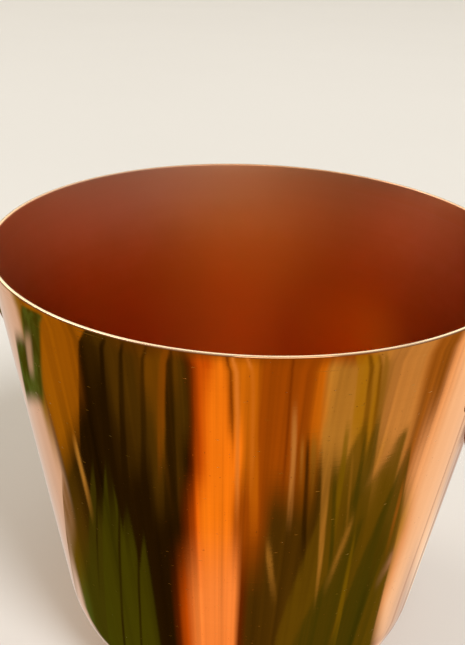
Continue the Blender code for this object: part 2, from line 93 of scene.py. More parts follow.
# The spout's mouth axis, from the joint that the rose turns on.
TURN = next(joint for joint in frame["joints"] if joint["name"] == "rose_turn")
MOUTH = Vector(TURN["pos_m"])
MOUTH_HEADING = atan2(TURN["axis"][2], TURN["axis"][0])
ROOT_LEVEL = BASE_LEVEL + 0.042
ROOT_HEADING = pi - radians(50)
MIDDLE_HEADING = pi - radians(55)
SPOUT_ROOT_RADIUS = 0.0092
SPOUT_MOUTH_RADIUS = 0.006
SPOUT_WALL = 0.001
SPOUT_INNER_RUN = 0.02
SPOUT_STRAIGHT_RUN = 0.006
SPOUT_BEND_RADIUS = 0.06

COLLAR_HALF_WIDTH = 0.0135
COLLAR_HALF_HEIGHT = 0.0215
COLLAR_PLATE = 0.0012
COLLAR_NECK_WALL = 0.0011
COLLAR_NECK_RUN = 0.02
COLLAR_FILLET = 0.0042
COLLAR_END = SPOUT_INNER_RUN + COLLAR_NECK_RUN
COLLAR_BEND = 0.0006
COLLAR_LIP = 0.0004
SPOUT_LIP = 0.0002

# Sections of the brazed seams: (beyond the collar's edge, out from what it is brazed to).
NECK_BRAZE = ((3e-5, 4e-5), (3e-5, 11e-4), (4e-4, 7e-4), (9e-4, 3e-4), (13e-4, 4e-5))
PLATE_BRAZE = ((4e-5, 3e-5), (4e-5, 1e-3), (3e-4, 55e-5), (7e-4, 25e-5), (13e-4, 3e-5))

STRAINER_HALF_WIDTH = 0.012
STRAINER_HALF_HEIGHT = 0.019
STRAINER_RISE = 0.0045
STRAINER_SHEET = 0.0008
STRAINER_HOLE = 0.001
STRAINER_STEP = 0.0042
STRAINER_HOLE_RINGS = 2

FERRULE_LENGTH = 0.016
FERRULE_RADIUS = 0.0079
FERRULE_SHOULDER = 0.0094
FERRULE_SHOULDER_RUN = 0.0022
FERRULE_TAPER_SHARE = 0.14
FERRULE_LIP = 0.0012
GROOVE = (0.008, 0.0104)
GROOVE_RADIUS = 0.0069
SEAL_HALF_WIDTH = 0.0009
SEAL_RADIUS = 0.008

SOCKET_BORE = 0.0083
SOCKET_RADIUS = 0.0093
SOCKET_BEAD = 0.01
SOCKET_END = 0.0165
NECK_BORE = 0.0066
NECK_RADIUS = 0.0078
NECK_STRAIGHT = 0.02
NECK_BEND_RADIUS = 0.022
NECK_BEND = radians(25)
NECK_END_RUN = 0.007
SHELL_SLEEVE = 0.0045
SHELL_LENGTH = 0.023
SHELL_LIP = 0.003
SHELL_WALL = 0.0008
SHELL_RADIUS = 0.0185
SHELL_FLARE_POWER = 1.3
FACE_SHEET = 0.0008
FACE_RISE = 0.0026
FACE_HOLE = 0.0006
FACE_STEP = 0.0038
FACE_HOLE_RINGS = 4
RING_WALL = 0.001
RING_REACH = 0.0024

STRAP_HALF_WIDTH = 0.0075
STRAP_HALF_THICK = 0.0014
STRAP_EDGE = 0.0008
STRAP_END_EDGE = 0.0004
STRAP_ROW = 0.0011
STRAP_END_ROUND = 0.005
STRAP_END_NARROWING = 0.6
STRAP_UPPER_END = 0.0195
STRAP_LOWER_END = 0.0213
STRAP_LOWER_BEND = 0.0355
STRAP_RISE = 0.015
STRAP_TOP_RADIUS = 0.02044
STRAP_LOWER_RADIUS = 0.0115
RIVET_COUNT = 4
RIVET_RADIUS = 0.0017
RIVET_HEAD_RADIUS = 0.0031
RIVET_HEAD_HEIGHT = 0.0016
RIVET_DOME_POWER = 0.8
RIVET_TAIL_RADIUS = 0.0026
RIVET_TAIL_HEIGHT = 0.0011
BURR_RADIUS = 0.0034
BURR_THICKNESS = 0.0009

PAD_RADIUS = 0.0285
PAD_THICKNESS = 0.0015
PAD_GROOVES = (0.01, 0.016, 0.022)
# A groove's section: (out, up).
PAD_GROOVE = ((0, 0), (0.0002, 0.0004), (0.0012, 0.0004), (0.0014, 0))

# ---- camera

# The camera looks over the front of the rim. Distances are in rim radii from the rim's centre.
CAMERA_AZIMUTH = radians(29.6)
CAMERA_ELEVATION = 0.46099
CAMERA_ROLL = 0.0337
CAMERA_DISTANCE = 3.27601
CAMERA_TARGET = Vector((-0.07522, 0, -0.39243))
CAMERA_LENS = 44.65


def placed(name, data):
    made = bpy.data.objects.new(name, data)
    bpy.context.scene.collection.objects.link(made)
    return made


def make_camera():
    forward = Vector((0, cos(CAMERA_ELEVATION), -sin(CAMERA_ELEVATION)))
    level = Vector((1, 0, 0))
    above = level.cross(forward)
    right = level * cos(CAMERA_ROLL) + above * sin(CAMERA_ROLL)
    up = above * cos(CAMERA_ROLL) - level * sin(CAMERA_ROLL)
    data = bpy.data.cameras.new("camera")
    data.lens = CAMERA_LENS
    data.sensor_width = 36
    data.clip_start = 0.01
    data.clip_end = 50
    camera = placed("camera", data)
    axes = Matrix((right, up, -forward)).transposed().to_4x4()
    place = Matrix.Translation(RIM_RADIUS * (CAMERA_TARGET - CAMERA_DISTANCE * forward))
    rim_centre = Matrix.Translation((0, 0, RIM_LEVEL))
    camera.matrix_world = rim_centre @ Matrix.Rotation(CAMERA_AZIMUTH, 4, "Z") @ place @ axes
    bpy.context.scene.camera = camera


# ---- node trees


def is_socket(value):
    return isinstance(value, bpy.types.NodeSocket)


def feed(node, sockets):
    """Sets a node's inputs to values or to other nodes' outputs."""
    for key, value in sockets.items():
        if is_socket(value):
            node.id_data.links.new(value, node.inputs[key])
        else:
            node.inputs[key].default_value = value


def add(kind, sockets, tree=None, **settings):
    """A new node. One that no other node feeds needs its tree given."""
    if tree is None:
        tree = next(value.id_data for value in sockets.values() if is_socket(value))
    node = tree.nodes.new("ShaderNode" + kind)
    for name, value in settings.items():
        setattr(node, name, value)
    feed(node, sockets)
    return node


def maths(operation, first, second=0, third=0, clamp=False):
    return add("Math", {0: first, 1: second, 2: third}, operation=operation, use_clamp=clamp).outputs[0]


def times(first, second):
    return maths("MULTIPLY", first, second)


def linear(value, slope, start, clamp=False):
    return maths("MULTIPLY_ADD", value, slope, start, clamp)


def minus(first, second):
    return maths("SUBTRACT", first, second)


def apart(first, second):
    return maths("ABSOLUTE", minus(first, second))


def parts(vector):
    return add("SeparateXYZ", {0: vector}).outputs


def mixed(share, first, second, blend="MIX"):
    """A blend of two colours. Colours are (r, g, b) or sockets."""
    sides = {key: side if is_socket(side) else (*side, 1) for key, side in ((6, first), (7, second))}
    return add("Mix", {0: share, **sides}, data_type="RGBA", blend_type=blend).outputs[2]


def ranged(value, low, high, to_low=0, to_high=1, smooth=False):
    sockets = {0: value, 1: low, 2: high, 3: to_low, 4: to_high}
    return add("MapRange", sockets, interpolation_type="SMOOTHSTEP" if smooth else "LINEAR").outputs[0]


def fading(value, full, gone):
    return ranged(value, full, gone, 1, 0, smooth=True)


def window(value, middle, half, soft):
    """1 within half of the middle, falling to 0 over the soft edge outside it."""
    return fading(apart(value, middle), half, half + soft)


def near(coords, place, inner, outer):
    """1 within the inner distance of a place, falling to 0 at the outer distance."""
    away = add("VectorMath", {0: coords, 1: place}, operation="DISTANCE").outputs["Value"]
    return fading(away, inner, outer)


def stretched(coords, scale, turn=(0, 0, 0)):
    return add("Mapping", {"Vector": coords, "Scale": scale, "Rotation": turn}).outputs[0]


def noise(coords, scale, detail=2, rough=0.5, distortion=0):
    shape = {"Scale": scale, "Detail": detail, "Roughness": rough, "Distortion": distortion}
    return add("TexNoise", {"Vector": coords, **shape}).outputs[0]


def dashes(coords, scale, turn, size, share):
    """Short straight scratches, 1 on a scratch: stretched cells whose middles are drawn."""
    cells = add("TexVoronoi", {"Vector": stretched(coords, scale, turn), "Scale": 1}).outputs
    line = ranged(cells["Distance"], size * 0.4, size, 1, 0)
    return times(line, maths("LESS_THAN", parts(cells["Color"])[0], share))


def new_material(name):
    material = bpy.data.materials.new(name)
    material.use_nodes = True
    coords = add("TexCoord", {}, material.node_tree).outputs["Object"]
    return material, material.node_tree.nodes["Principled BSDF"], coords


def bump(shader, *layers):
    """Surface relief as (height, depth in metres) layers, from the coarsest to the finest."""
    normal = {}
    for height, depth in layers:
        sockets = {"Height": height, "Distance": depth, "Strength": 1, **normal}
        normal = {"Normal": add("Bump", sockets).outputs[0]}
    feed(shader, normal)


def metal(name, bright, deep, roughness, grain, line_depth, wave_depth, tarnish, anisotropy=0):
    """Polished metal: polishing lines along the grain, scratches, specks and tarnished corners."""
    material, shader, coords = new_material(name)
    tree = material.node_tree
    cloud = noise(coords, 26, 4, 0.55)
    smear = noise(stretched(coords, (1, 1, 0.35)), 70, 3, 0.6)
    lines = noise(stretched(coords, grain), 1, 3, 0.65)
    broad = noise(stretched(coords, [g * 0.22 for g in grain]), 1, 2, 0.5)
    specks = ranged(noise(coords, 1500, 1), 0.74, 0.8)
    long_ones = dashes(coords, (38, 38, 2400), (0.04, -0.05, 0), 0.22, 0.3)
    near_rim = ranged(parts(coords)[2], RIM_LEVEL - 0.006, RIM_LEVEL - 0.003, 0.12, 1)
    short_ones = dashes(coords, (300, 300, 1500), (0.5, 0.4, 0), 0.2, 0.1)
    scratches = maths("MAXIMUM", times(long_ones, near_rim), short_ones)
    corners = add("AmbientOcclusion", {"Distance": 0.0035}, tree, samples=4).outputs["AO"]
    grime = ranged(maths("ADD", corners, times(smear, 0.5)), 0.95, 0.55)
    tone = mixed(ranged(cloud, 0.35, 0.68), bright, deep)
    tone = mixed(ranged(lines, 0.35, 0.75, 0, 0.4), tone, deep)
    tone = mixed(times(scratches, 0.45), tone, SCRATCH_TONE)
    tone = mixed(times(specks, 0.4), tone, tarnish)
    tone = mixed(times(grime, 0.75), tone, tarnish)
    uneven = ranged(maths("ADD", cloud, smear), 0.7, 1.35, roughness * 0.7, roughness * 1.35)
    uneven = linear(lines, roughness * 0.25, uneven)
    uneven = linear(scratches, 0.3, uneven)
    uneven = linear(specks, 0.25, uneven)
    uneven = linear(grime, 0.3, uneven, clamp=True)
    feed(shader, {"Base Color": tone, "Roughness": uneven, "Metallic": 1})
    if anisotropy:
        tangent = add("Tangent", {}, tree, direction_type="RADIAL", axis="Z").outputs[0]
        feed(shader, {"Anisotropic": anisotropy, "Anisotropic Rotation": 0.25, "Tangent": tangent})
    relief = linear(broad, 0.8, lines)
    relief = linear(scratches, -0.6, relief)
    relief = linear(specks, -0.9, relief)
    bump(shader, (noise(coords, 38), wave_depth), (relief, line_depth))
    return material


def satin_copper(name, bright, deep, depth, roughness):
    """The inside of the body: spun, unpolished copper with faint rings, with painted shade that deepens
    its tone lower down, a far wall painted redder, a painted glow and a painted sheen under the rim.
    """
    material, shader, coords = new_material(name)
    cloud = noise(coords, 20, 5, 0.6)
    lines = noise(stretched(coords, (5, 5, 1900)), 1, 2, 0.6)
    rings = noise(stretched(coords, (2, 2, 330)), 1, 2, 0.6)
    grains = noise(coords, 900)
    height = parts(coords)[2]
    edge_ring = window(height, RIM_LEVEL - 0.0058, 0, 0.0005)
    line = linear(cloud, 0.02, RIM_LEVEL - 0.022)
    # Painted shade: below a wavy line about 22 mm under the rim the inside turns a deeper, redder tone.
    low = ranged(minus(height, line), 0.004, -0.032, smooth=True)
    # Painted sheen: a paler patch under the rim, near the back.
    top = ranged(height, RIM_LEVEL - PAINTED_SHEEN_DEPTH, RIM_LEVEL, smooth=True)
    painted_sheen = times(top, near(coords, *PAINTED_SHEEN))
    # Painted glow: warm, bright spots on the far wall and on the wall opposite it.
    painted_glow = near(coords, *PAINTED_GLOWS[0])
    for spot in PAINTED_GLOWS[1:]:
        painted_glow = maths("MAXIMUM", painted_glow, near(coords, *spot))
    tone = mixed(ranged(cloud, 0.3, 0.72), bright, deep)
    tone = mixed(ranged(rings, 0.35, 0.7, 0, 0.35), tone, deep)
    tone = mixed(times(edge_ring, 0.15), tone, RING_TONE)
    # Painted sheen.
    tone = mixed(times(painted_sheen, 0.8), tone, PAINTED_SHEEN_TONE)
    # Painted shade lower down inside.
    tone = mixed(times(low, 0.85), tone, depth)
    # Painted bounce light: the far wall turns redder.
    tone = mixed(times(near(coords, *PAINTED_FAR_WALL), 0.6), tone, PAINTED_FAR_TONE)
    # Painted glow.
    tone = mixed(painted_glow, tone, PAINTED_GLOW_TONE)
    uneven = ranged(cloud, 0.3, 0.7, roughness * 0.85, roughness * 1.2)
    uneven = linear(lines, 0.1, uneven)
    uneven = linear(painted_sheen, 0.12, uneven)
    feed(shader, {"Base Color": tone, "Roughness": uneven, "Metallic": 1})
    relief = linear(grains, 0.6, lines)
    bump(shader, (rings, 3e-5), (relief, 1.2e-5))
    return material


def rubber(name, colour):
    material, shader, coords = new_material(name)
    cloud = noise(coords, 120, 4, 0.6)
    grains = noise(coords, 2600)
    dust = ranged(noise(coords, 45, 5, 0.7), 0.48, 0.75, 0, 0.5)
    tone = mixed(ranged(cloud, 0.3, 0.7), colour, [c * 1.9 for c in colour])
    tone = mixed(dust, tone, DUST_TONE)
    feed(shader, {"Base Color": tone, "Roughness": ranged(cloud, 0.3, 0.7, 0.62, 0.88)})
    bump(shader, (cloud, 6e-5), (grains, 4e-5))
    return material


# ---- shape tools


class Path:
    """A line in the XZ plane made of straight runs and arcs. Headings are angles above +X."""

    def __init__(self, start, heading):
        self.pieces = []
        self.end = Vector(start)
        self.heading = heading
        self.length = 0

    def go(self, run, turn=0):
        self.pieces.append((self.length, self.end, self.heading, run, turn))
        self.length += run
        self.end, self.heading = self.follow(self.pieces[-1], run)
        return self

    def bend(self, radius, turn):
        return self.go(radius * abs(turn), turn)

    def at(self, distance):
        """The point and heading at a distance. Past either end the path runs on straight."""
        piece = self.pieces[0]
        for candidate in self.pieces:
            if candidate[0] <= distance:
                piece = candidate
        return self.follow(piece, distance - piece[0])

    @staticmethod
    def follow(piece, run):
        _, start, heading, length, turn = piece
        after = heading + turn * run / length
        if turn == 0:
            return start + run * Vector((cos(heading), sin(heading))), heading
        radius = length / turn
        return start + radius * Vector((sin(after) - sin(heading), cos(heading) - cos(after))), after


def circle(count):
    """Angles spaced evenly round a circle."""
    return [2 * pi * i / count for i in range(count)]


def shares(count):
    """Evenly spaced shares from 0 to 1."""
    return [step / count for step in range(count + 1)]


def dome(half, rise):
    """The radius of a dome's sphere, and the angle at its centre from the top to the edge."""
    radius = (half**2 + rise**2) / (2 * rise)
    return radius, atan(half / (radius - rise))


def rounding(radius, *turns):
    """How far a rounded edge lies in from each of its two faces, at shares of its quarter turn."""
    return [(radius * (1 - sin(turn * pi / 2)), radius * (1 - cos(turn * pi / 2))) for turn in turns]


def facing(place, out):
    """A frame at a place whose Z points out, along the XZ plane, and whose Y is level."""
    across = Vector((0, 1, 0))
    return Matrix.Translation(place) @ Matrix((across.cross(out), across, out)).transposed().to_4x4()


def beside(path, distance, out, angle):
    """A point at a distance along the path, out from it, at an angle round it."""
    (x, z), heading = path.at(distance)
    lift = out * sin(angle)
    return Vector((x - lift * sin(heading), out * cos(angle), z + lift * cos(heading)))


def rounded(corners, steps=5):
    """An outline of (x, y, corner radius) points with its corners turned into arcs."""
    points = []
    count = len(corners)
    for number, (x, y, radius) in enumerate(corners):
        here = Vector((x, y))
        if radius == 0:
            points.append(here)
            continue
        back = (Vector(corners[number - 1][:2]) - here).normalized()
        on = (Vector(corners[(number + 1) % count][:2]) - here).normalized()
        half = back.angle(on) / 2
        centre = here + (back + on).normalized() * radius / sin(half)
        start = here + back * radius / tan(half) - centre
        end = here + on * radius / tan(half) - centre
        points += [centre + radius * start.slerp(end, share) for share in shares(steps)]
    return points


def divided(points, longest):
    """The outline with its long sides split evenly."""
    made = [points[0]]
    for first, second in zip(points, points[1:]):
        count = max(1, round((second - first).length / longest))
        made += [first.lerp(second, share) for share in shares(count)[1:]]
    return made


def bridge(bm, first, second):
    """Faces between two rings. A ring of one vertex is a tip."""
    count = max(len(first), len(second))
    for i in range(count):
        after = (i + 1) % count
        corners = [first[i % len(first)], first[after % len(first)]]
        corners += [second[after % len(second)], second[i % len(second)]]
        bm.faces.new(list(dict.fromkeys(corners)))


def loft(name, rings, materials, closed=False, cap=False):
    """A skin over rings of points. A closed one joins its last ring to its first."""
    bm = bmesh.new()
    made = [[bm.verts.new(point) for point in ring] for ring in rings]
    for first, second in zip(made, made[1:]):
        bridge(bm, first, second)
    if closed:
        bridge(bm, made[-1], made[0])
    if cap:
        bm.faces.new(made[0])
        bm.faces.new(made[-1])
    return shaped(name, bm, materials)


def shade(mesh):
    mesh.shade_smooth()
    mesh.set_sharp_from_angle(angle=SHARP)


def shaped(name, bm, materials):
    bmesh.ops.recalc_face_normals(bm, faces=bm.faces)
    mesh = bpy.data.meshes.new(name)
    bm.to_mesh(mesh)
    bm.free()
    shade(mesh)
    for material in materials:
        mesh.materials.append(material)
    return placed(name, mesh)


def turned(name, path, outline, materials, segments=64):
    """A round piece along a path. The outline's points are (distance along the path, radius).

    An outline that starts off the path is a loop.
    """
    rings = []
    for distance, radius in outline:
        if radius < 1e-6:
            rings.append([beside(path, distance, 0, 0)])
        else:
            rings.append([beside(path, distance, radius, angle) for angle in circle(segments)])
    return loft(name, rings, materials, closed=outline[0][1] > 0)


def cut(piece, *cutters):
    """Takes the cutters out of the piece, and removes them."""
    for cutter in cutters:
        step = piece.modifiers.new("cut", "BOOLEAN")
        step.operation = "DIFFERENCE"
        step.solver = "EXACT"
        step.object = cutter
    evaluated = piece.evaluated_get(bpy.context.evaluated_depsgraph_get())
    mesh = bpy.data.meshes.new_from_object(evaluated)
    piece.modifiers.clear()
    piece.data = mesh
    shade(mesh)
    for cutter in cutters:
        bpy.data.objects.remove(cutter)


def pins(places, radius, length, sides=14):
    """Round bars through the given frames, along each one's Z."""
    bm = bmesh.new()
    for place in places:
        bmesh.ops.create_cone(
            bm, cap_ends=True, segments=sides, radius1=radius, radius2=radius, depth=length, matrix=place
        )
    return shaped("pins", bm, [])


def hole_places(place, step, rings, stretch=1):
    """Frames for holes in rings of six, twelve and so on about a frame's Z, spread along its X."""
    places = [place]
    for ring in range(1, rings + 1):
        for angle in circle(6 * ring):
            shift = (stretch * step * ring * cos(angle), step * ring * sin(angle), 0)
            places.append(place @ Matrix.Translation(shift))
    return places


def settle(piece, body, slot, *nodes):
    """Puts a piece on a body in place of CAD nodes, which it hides. The slot is not used."""
    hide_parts(*nodes)
    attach(piece, body)


# ---- the body's wall


def wall_radius(level, inset=0):
    """Radius of the outer wall at a height, inset square to the wall."""
    return RIM_RADIUS - BODY_TAPER * (RIM_LEVEL - level) - inset / cos(WALL_TILT)


def on_wall(side, up, across, proud):
    """A point on the spout's side (-1) or the handle's (1), up the wall from the spout's root."""
    level = ROOT_LEVEL + up * cos(WALL_TILT)
    radius = wall_radius(level, -proud)
    return Vector((side * sqrt(radius**2 - across**2), across, level))


def wall_frame(level, side):
    """A frame on the outer wall at y = 0, square to the wall."""
    out = Vector((side * cos(WALL_TILT), 0, -sin(WALL_TILT)))
    return facing(Vector((side * wall_radius(level), 0, level)), out)


def make_body(outside, inside, edge, cutters):
    inner_base = BASE_LEVEL + BODY_WALL
    corners = [
        (0, BASE_LEVEL, 0), (wall_radius(BASE_LEVEL), BASE_LEVEL, CORNER_RADIUS),
        (RIM_RADIUS, RIM_LEVEL, RIM_EDGE),
        (wall_radius(RIM_LEVEL, BODY_WALL), RIM_LEVEL, RIM_INNER_EDGE),
        (wall_radius(inner_base, BODY_WALL), inner_base, CORNER_RADIUS - BODY_WALL),
        (0, inner_base, 0),
    ]
    section = divided(rounded(corners, 12), BODY_ROW)
    outline = [(height, radius) for radius, height in section]
    body = turned("copper_body", UPRIGHT, outline, [outside, inside, edge], BODY_SEGMENTS)
    cut(body, *cutters)
    corner_top = BASE_LEVEL + CORNER_RADIUS
    for face in body.data.polygons:
        x, y, z = face.center
        on_side = z > corner_top
        within = hypot(x, y) < wall_radius(z, BODY_WALL / 2) if on_side else face.normal.z > 0
        # Upward faces of the rim take the cut edge's copper: a real worked edge, painted pale cream as a
        # glint.
        face.material_index = 2 if on_side and face.normal.z > CUT_EDGE_FACING else int(within)
    settle(body, "can", "polished_copper", "body_shell")


def make_pad(material):
    """A moulded pad: rounded edge and shallow rings under it, flat where it meets the ground."""
    corners = [(0, 0, 0)]
    for groove in PAD_GROOVES:
        corners += [(groove + out, up, 0.0001) for out, up in PAD_GROOVE]
    corners += [(PAD_RADIUS, 0, 0.0005), (PAD_RADIUS, PAD_THICKNESS, 0.0002), (0, PAD_THICKNESS, 0)]
    outline = [(height, radius) for radius, height in rounded(corners, 3)]
    pad = turned("rubber_pad", UPRIGHT, outline, [material], 96)
    settle(pad, "can", "black_rubber", "base_pad")


# ---- spout


def spout_path():
    start = Vector((-wall_radius(ROOT_LEVEL), ROOT_LEVEL))
    start -= SPOUT_INNER_RUN * Vector((cos(ROOT_HEADING), sin(ROOT_HEADING)))
    path = Path(start, ROOT_HEADING).go(SPOUT_INNER_RUN).go(SPOUT_STRAIGHT_RUN)
    path.bend(SPOUT_BEND_RADIUS, MIDDLE_HEADING - ROOT_HEADING)
    last_bend_rise = SPOUT_BEND_RADIUS * (cos(MIDDLE_HEADING) - cos(MOUTH_HEADING))
    path.go((MOUTH.z - path.end.y - last_bend_rise) / sin(MIDDLE_HEADING))
    path.bend(SPOUT_BEND_RADIUS, MOUTH_HEADING - MIDDLE_HEADING)
    return path.go(FERRULE_LENGTH - FERRULE_LIP - GAP)


def spout_radius(distance):
    share = (distance - SPOUT_INNER_RUN) / (SPOUT.length - SPOUT_INNER_RUN)
    return SPOUT_ROOT_RADIUS + max(0, share) * (SPOUT_MOUTH_RADIUS - SPOUT_ROOT_RADIUS)


def on_spout(distance, extra, angle):
    return beside(SPOUT, distance, spout_radius(distance) + extra, angle)


def leaves_wall(extra, proud, angle):
    """The distance along the spout where its surface, grown by extra, comes out of the wall."""
    low, high = 0, 2.5 * SPOUT_INNER_RUN
    for _ in range(40):
        middle = (low + high) / 2
        point = on_spout(middle, extra, angle)
        if hypot(point.x, point.y) < wall_radius(point.z, -proud):
            low = middle
        else:
            high = middle
    return high


def make_spout(copper):
    angles = circle(72)
    roots = [leaves_wall(0, GAP, angle) for angle in angles]
    inner_roots = [leaves_wall(-SPOUT_WALL, GAP, angle) for angle in angles]
    end = SPOUT.length
    rows = shares(90)

    def ring(starts, share, extra):
        return [on_spout(s + (end - s) * share, extra, a) for s, a in zip(starts, angles)]

    rings = [ring(roots, share, 0) for share in rows[:-1]]
    for back, inward in rounding(SPOUT_LIP, 0, 0.5, 1):
        rings.append([on_spout(end - back, -inward, angle) for angle in angles])
    rings += [ring(inner_roots, 1 - share, -SPOUT_WALL) for share in rows]
    spout = loft("copper_spout", rings, [copper], closed=True)
    settle(spout, "can", "polished_copper", "spout_tube")


def collar_edge(angle, grow=0):
    """A point of the plate's oval, as (up the wall, across), for an angle round the spout."""
    return Vector((-(COLLAR_HALF_HEIGHT + grow) * sin(angle), (COLLAR_HALF_WIDTH + grow) * cos(angle)))


def make_collar(copper):
    """An oval plate on the wall that flows into a short neck round the tube."""
    neck_extra = GAP + COLLAR_NECK_WALL
    top = GAP + COLLAR_PLATE
    columns = []
    for angle in circle(96):
        edge = collar_edge(angle)
        root = leaves_wall(neck_extra, top, angle)
        corner = on_spout(root, neck_extra, angle)
        foot = Vector(((corner.z - ROOT_LEVEL) / cos(WALL_TILT), corner.y))
        toe = foot.lerp(edge, min(0.75, COLLAR_FILLET / max(1e-6, (edge - foot).length)))
        inset = (edge - toe).normalized()
        column = [on_wall(-1, *edge, GAP)]
        for drop, inward in rounding(COLLAR_BEND, 0, 0.33, 0.67, 1):
            column.append(on_wall(-1, *(edge - inset * inward), top - drop))
        neck_start = root + min(COLLAR_FILLET, 0.6 * (COLLAR_END - root))
        first, last = on_wall(-1, *toe, top), on_spout(neck_start, neck_extra, angle)
        for t in shares(8):
            column.append((1 - t) ** 2 * first + 2 * t * (1 - t) * corner + t**2 * last)
        neck_run = COLLAR_END - COLLAR_LIP - neck_start
        for share in shares(5)[1:]:
            column.append(on_spout(neck_start + neck_run * share, neck_extra, angle))
        for back, inward in rounding(COLLAR_LIP, 0.5, 1):
            column.append(on_spout(COLLAR_END - back, neck_extra - inward, angle))
        inner_root = leaves_wall(GAP, GAP, angle)
        for share in shares(8):
            column.append(on_spout(COLLAR_END + (inner_root - COLLAR_END) * share, GAP, angle))
        columns.append(column)
    collar = loft("spout_flange", [list(ring) for ring in zip(*columns)], [copper], closed=True)
    settle(collar, "can", "polished_copper", "spout_collar")


def make_seams(solder):
    """The braze round the collar's neck and plate, which CAD leaves out."""
    angles = circle(96)
    neck = [[on_spout(COLLAR_END + on, out, angle) for angle in angles] for on, out in NECK_BRAZE]
    plate = [[on_wall(-1, *collar_edge(angle, on), out) for angle in angles] for on, out in PLATE_BRAZE]
    for name, rings in (("neck_braze", neck), ("flange_braze", plate)):
        seam = loft(name, rings, [solder], closed=True)
        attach(seam, "can")


def make_strainer(brass):
    """A perforated oval dome over the spout's root, inside the body."""
    radius, spread = dome(STRAINER_HALF_WIDTH, STRAINER_RISE)
    middle = radius - STRAINER_RISE
    stretch = STRAINER_HALF_HEIGHT / STRAINER_HALF_WIDTH
    place = wall_frame(ROOT_LEVEL, -1) @ Matrix.Translation((0, 0, -BODY_WALL - GAP))
    turns = [spread * share for share in shares(12)]
    outer = [(radius * sin(turn), middle - radius * cos(turn)) for turn in turns]
    shrink = (radius - STRAINER_SHEET) / radius
    inner = [(r * shrink, (h - middle) * shrink + middle) for r, h in outer]

    def ring(r, h):
        if r < 1e-6:
            return [place @ Vector((0, 0, h))]
        return [place @ Vector((stretch * r * cos(a), r * sin(a), h)) for a in circle(72)]

    def on_inner_wall(points):
        reach = BODY_WALL + GAP
        return [Vector((-sqrt(wall_radius(p.z, reach) ** 2 - p.y**2), p.y, p.z)) for p in points]

    rings = [ring(r, h) for r, h in outer] + [on_inner_wall(ring(*outer[-1]))]
    rings += [on_inner_wall(ring(*inner[-1]))] + [ring(r, h) for r, h in inner[::-1]]
    strainer = loft("brass_strainer", rings, [brass])
    holes = hole_places(place, STRAINER_STEP, STRAINER_HOLE_RINGS, stretch)
    cut(strainer, pins(holes, STRAINER_HOLE, 6 * STRAINER_RISE))
    settle(strainer, "can", "brass", "spout_strainer")


# ---- ferrule, seal and rose


def make_ferrule(brass):
    bore = SPOUT_MOUTH_RADIUS + GAP
    mouth = SPOUT_MOUTH_RADIUS - SPOUT_WALL
    back_bore = bore + (SPOUT_ROOT_RADIUS - SPOUT_MOUTH_RADIUS) * FERRULE_TAPER_SHARE
    corners = [
        (0, FERRULE_SHOULDER, 0.0004), (FERRULE_SHOULDER_RUN, FERRULE_SHOULDER, 0.0004),
        (FERRULE_SHOULDER_RUN, FERRULE_RADIUS, 0.0003), (GROOVE[0], FERRULE_RADIUS, 0.00015),
        (GROOVE[0], GROOVE_RADIUS, 0.00015), (GROOVE[1], GROOVE_RADIUS, 0.00015),
        (GROOVE[1], FERRULE_RADIUS, 0.00015), (FERRULE_LENGTH - 0.001, FERRULE_RADIUS, 0.0003),
        (FERRULE_LENGTH, FERRULE_RADIUS - 0.0006, 0.0002), (FERRULE_LENGTH, mouth, 0.0002),
        (FERRULE_LENGTH - FERRULE_LIP, mouth, 0), (FERRULE_LENGTH - FERRULE_LIP, bore, 0),
        (0, back_bore, 0.0002),
    ]
    ferrule = turned("brass_ferrule", MOUTH_PATH, rounded(corners, 4), [brass], 96)
    settle(ferrule, "can", "brass", "spout_ferrule")


def make_seal(material):
    middle = sum(GROOVE) / 2
    low = GROOVE_RADIUS + GAP
    corners = [
        (middle - SEAL_HALF_WIDTH, low, 0.0002), (middle - SEAL_HALF_WIDTH, SEAL_RADIUS, 0.0004),
        (middle + SEAL_HALF_WIDTH, SEAL_RADIUS, 0.0004), (middle + SEAL_HALF_WIDTH, low, 0.0002),
    ]
    seal = turned("rubber_seal", MOUTH_PATH, rounded(corners, 5), [material], 80)
    settle(seal, "seal", "black_rubber", "rose_seal")


def neck_path():
    path = Path((MOUTH.x, MOUTH.z), MOUTH_HEADING).go(NECK_STRAIGHT)
    return path.bend(NECK_BEND_RADIUS, NECK_BEND).go(NECK_END_RUN)


def make_neck(brass):
    """Socket with a rolled bead, a step down and the bent neck."""
    start = FERRULE_SHOULDER_RUN + GAP
    end = NECK.length
    corners = [
        (start, SOCKET_BORE, 0.0002), (start, SOCKET_BEAD, 0.0005),
        (start + 0.0017, SOCKET_BEAD, 0.0006), (start + 0.0021, SOCKET_RADIUS, 0.0003),
        (SOCKET_END - 0.0013, SOCKET_RADIUS, 0.0008), (NECK_STRAIGHT - 0.0002, NECK_RADIUS, 0.0006),
        (end, NECK_RADIUS, 0.0002), (end, NECK_BORE, 0.0002),
        (SOCKET_END + GAP, NECK_BORE, 0.0001), (SOCKET_END, SOCKET_BORE, 0.0001),
    ]
    outline = rounded(corners, 4)
    outline = divided(outline + outline[:1], 0.0007)[:-1]
    neck = turned("brass_neck", NECK, outline, [brass], 80)
    settle(neck, "rose", "brass", "rose_neck")


def head(corners):
    """Outline points measured from the back of the rose's shell, as distances along the neck."""
    return [(NECK.length - SHELL_SLEEVE + point[0], *point[1:]) for point in corners]


